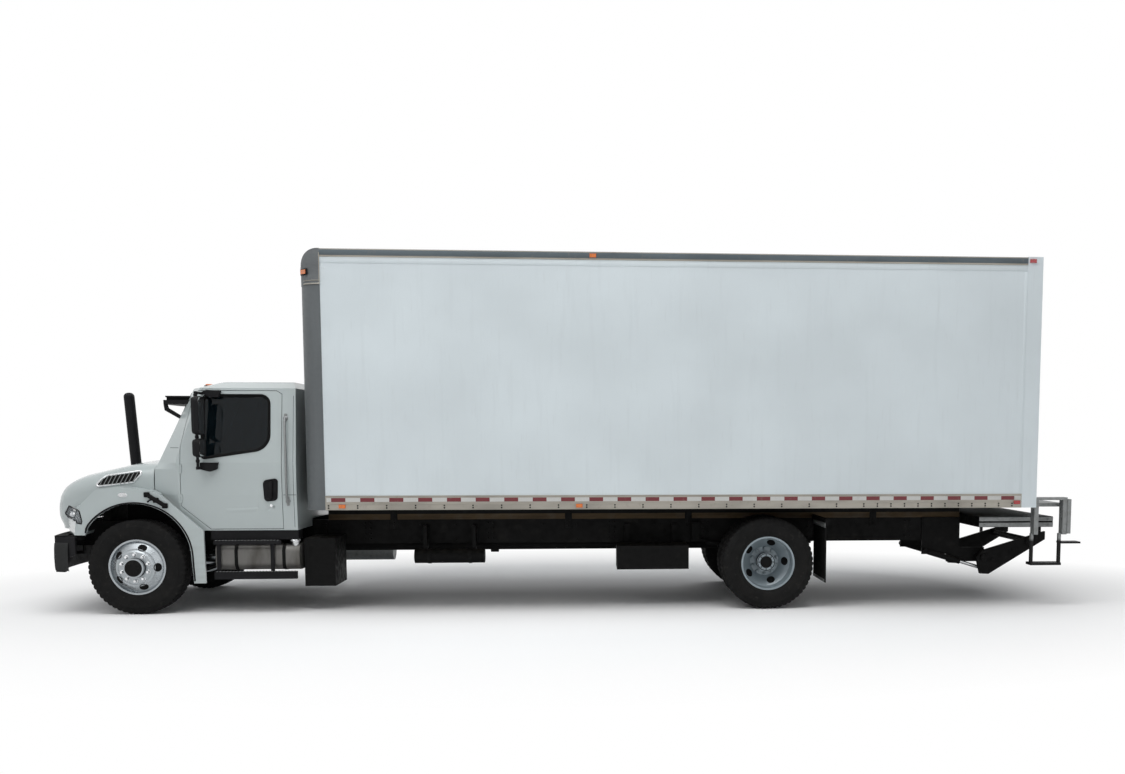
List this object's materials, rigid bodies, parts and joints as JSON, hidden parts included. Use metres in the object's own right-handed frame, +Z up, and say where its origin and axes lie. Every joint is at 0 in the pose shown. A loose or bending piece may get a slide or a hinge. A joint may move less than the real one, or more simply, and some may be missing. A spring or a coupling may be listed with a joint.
{
  "type": "box truck",
  "caption": "Medium conventional truck with a dry freight box, dual rear wheels, tilting hood and a folded tuck-under liftgate.",
  "frame": {"origin": "on the ground under the middle of the bounding box", "axes": "-X is the way the truck faces, -Y its left side, +Z up"},
  "size_m": [11.38, 2.76, 3.8827],
  "materials": {
    "white_paint": "gloss automotive white",
    "panel_white": "white pre-painted laminate panel, slightly wavy",
    "aluminium_rail": "mill extrusion, satin",
    "front_skin": "grey satin sheet",
    "frame_black": "semi-gloss chassis black, dusty",
    "cast_black": "black painted casting",
    "tyre": "dusty black rubber",
    "wheel_white": "white powder coat, gloss",
    "plastic_black": "moulded, grained",
    "plastic_grey": "moulded, grained",
    "rubber_black": "matt",
    "tank_metal": "brushed, dull",
    "gate_grey": "galvanised, weathered",
    "wood_oak": "oiled hardwood",
    "glass_tint": "dark tinted",
    "lamp_clear": "clear lens",
    "lamp_amber": "amber lens",
    "lamp_red": "red lens",
    "seat_cloth": "woven",
    "steel_bright": "machined"
  },
  "bodies": {
    "chassis": {"box_floor": "wood_oak", "box_roof": "aluminium_rail", "bumper": "plastic_black", "cab_glass": "glass_tint", "cab_shell": "white_paint", "cab_sills": "plastic_black", "cab_steps": "plastic_black", "corner_caps": "aluminium_rail", "crossmembers": "frame_black", "dashboard": "plastic_grey", "exhaust": "gate_grey", "frame_boxes": "frame_black", "frame_rails": "frame_black", "front_axle": "cast_black", "front_wall": "front_skin", "gate_mount": "frame_black", "lamps_amber": "lamp_amber", "lamps_red": "lamp_red", "leaf_springs": "cast_black", "long_sills": "frame_black", "mudflaps": "rubber_black", "powertrain": "cast_black", "rear_axle": "cast_black", "rear_frame": "panel_white", "rear_steps": "gate_grey", "rollup_door": "panel_white", "seats": "seat_cloth", "side_rails": "aluminium_rail", "side_tanks": "tank_metal", "side_walls": "panel_white", "steering_wheel": "plastic_black", "sun_visor": "plastic_black", "tow_eyes": "frame_black", "underframe": "frame_black", "wooden_sills": "wood_oak"},
    "knuckle_left": {"knuckle_left": "cast_black"},
    "knuckle_right": {"knuckle_right": "cast_black"},
    "tie_rod": {"tie_rod": "cast_black"},
    "front_wheel_left": {"tyre_front_left": "tyre", "wheel_front_left": "wheel_white"},
    "front_wheel_right": {"tyre_front_right": "tyre", "wheel_front_right": "wheel_white"},
    "rear_wheels_left": {"tyres_rear_left": "tyre", "wheels_rear_left": "wheel_white"},
    "rear_wheels_right": {"tyres_rear_right": "tyre", "wheels_rear_right": "wheel_white"},
    "door_left": {"door_left": "white_paint", "door_glass_left": "glass_tint", "mirror_left": "plastic_black"},
    "door_right": {"door_right": "white_paint", "door_glass_right": "glass_tint", "mirror_right": "plastic_black"},
    "hood": {"hood": "white_paint", "grille": "plastic_grey", "headlamps": "lamp_clear", "stack": "plastic_black"},
    "gate_arms": {"gate_arms": "frame_black"},
    "gate_barrels": {"gate_cylinders": "steel_bright"},
    "gate_rods": {"gate_rods": "steel_bright"}
  },
  "joints": [
    {"name": "steer_left", "type": "hinge", "parent": "chassis", "child": "knuckle_left", "pos_m": [-4.68, -0.85, 0.51], "axis": [0, 0, 1], "range_deg": [-42, 42]},
    {"name": "steer_right", "type": "hinge", "parent": "chassis", "child": "knuckle_right", "pos_m": [-4.68, 0.85, 0.51], "axis": [0, 0, 1], "range_deg": [-42, 42]},
    {"name": "tie_rod_turn", "type": "hinge", "parent": "knuckle_left", "child": "tie_rod", "pos_m": [-4.47, -0.85, 0.314], "axis": [0, 0, 1], "range_deg": [-42, 42]},
    {"name": "front_wheel_left_spin", "type": "hinge", "parent": "knuckle_left", "child": "front_wheel_left", "pos_m": [-4.68, -1.015, 0.51], "axis": [0, 1, 0], "continuous": true},
    {"name": "front_wheel_right_spin", "type": "hinge", "parent": "knuckle_right", "child": "front_wheel_right", "pos_m": [-4.68, 1.015, 0.51], "axis": [0, 1, 0], "continuous": true},
    {"name": "rear_wheels_left_spin", "type": "hinge", "parent": "chassis", "child": "rear_wheels_left", "pos_m": [2.142, -0.913, 0.51], "axis": [0, 1, 0], "continuous": true},
    {"name": "rear_wheels_right_spin", "type": "hinge", "parent": "chassis", "child": "rear_wheels_right", "pos_m": [2.142, 0.913, 0.51], "axis": [0, 1, 0], "continuous": true},
    {"name": "door_left_swing", "type": "hinge", "parent": "chassis", "child": "door_left", "pos_m": [-4.194, -1.105, 1.6], "axis": [0, 0, -1], "range_deg": [0, 65]},
    {"name": "door_right_swing", "type": "hinge", "parent": "chassis", "child": "door_right", "pos_m": [-4.194, 1.105, 1.6], "axis": [0, 0, 1], "range_deg": [0, 65]},
    {"name": "hood_tilt", "type": "hinge", "parent": "chassis", "child": "hood", "pos_m": [-5.61, 0, 0.85], "axis": [0, -1, 0], "range_deg": [0, 60]},
    {"name": "gate_lift", "type": "hinge", "parent": "chassis", "child": "gate_arms", "pos_m": [4.815, 0, 0.498], "axis": [0, 1, 0], "range_deg": [0, 50]},
    {"name": "gate_barrel_turn", "type": "hinge", "parent": "chassis", "child": "gate_barrels", "pos_m": [4.15, 0, 0.56], "axis": [0, 1, 0], "range_deg": [-1, 3]},
    {"name": "gate_rod_slide", "type": "slide", "parent": "gate_barrels", "child": "gate_rods", "axis": [0.9576, 0, -0.2882], "range_m": [-0.127, 0]}
  ],
  "couplings": [
    {"joint": "steer_right", "follows": "steer_left", "ratio": 1},
    {"joint": "tie_rod_turn", "follows": "steer_left", "ratio": -1},
    {"joint": "gate_barrel_turn", "follows": "gate_lift", "ratio": 0.025},
    {"joint": "gate_rod_slide", "follows": "gate_lift", "m_per_rad": -0.1435}
  ]
}
